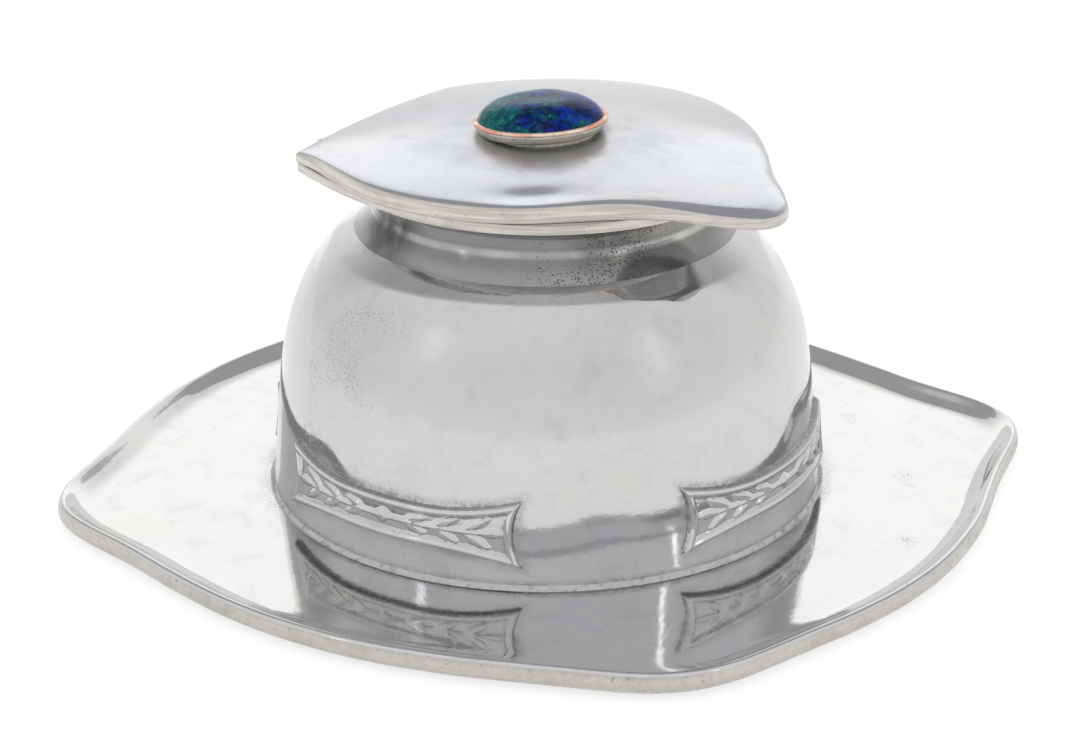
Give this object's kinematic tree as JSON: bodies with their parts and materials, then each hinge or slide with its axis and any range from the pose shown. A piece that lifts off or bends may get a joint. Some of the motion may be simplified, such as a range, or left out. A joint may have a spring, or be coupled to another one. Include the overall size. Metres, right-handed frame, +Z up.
{
  "type": "desk inkstand",
  "caption": "Desk inkstand: domed pewter body on a square eared tray, hinged lid with a thumb corner and an enamel disc, glass ink liner inside.",
  "frame": {"origin": "where the dome's axis meets the underside of the tray", "axes": "+Z up along the dome's axis, +Y towards the lid's hinge, -Y towards the lid's thumb corner, +X to the right seen from the thumb corner"},
  "size_m": [0.1516, 0.1567, 0.0715],
  "materials": {
    "pewter": "polished pewter, light cool grey, with fine scratches and small pits",
    "pewter_dull": "pewter darkened and roughened in the neck and the hinge",
    "solder": "soft solder, wiped smooth, grimed along its edge",
    "copper": "bare copper edge, satin, pinkish",
    "enamel": "glossy blue enamel with green and violet clouds",
    "liner_glass": "clear pressed glass, faintly green"
  },
  "bodies": {
    "stand": {"base_tray": "pewter", "dome_body": "pewter", "foot_solder_bead": "solder", "neck_collar": "pewter_dull", "neck_solder_bead": "solder", "hinge_knuckle_left": "pewter_dull", "hinge_knuckle_right": "pewter_dull", "hinge_pin": "pewter_dull"},
    "lid": {"lid_plate": "pewter", "hinge_knuckle_lid": "pewter_dull", "cabochon_cup": "pewter_dull", "copper_disc": "copper", "enamel_cabochon": "enamel"},
    "liner": {"ink_liner": "liner_glass"}
  },
  "joints": [
    {"name": "lid_hinge", "type": "hinge", "parent": "stand", "child": "lid", "pos_m": [0, 0.0381, 0.0588], "axis": [-1, 0, 0], "range_deg": [0, 105]},
    {"name": "liner_lift", "type": "slide", "parent": "stand", "child": "liner", "axis": [0, 0, 1], "range_m": [0, 0.003]}
  ]
}
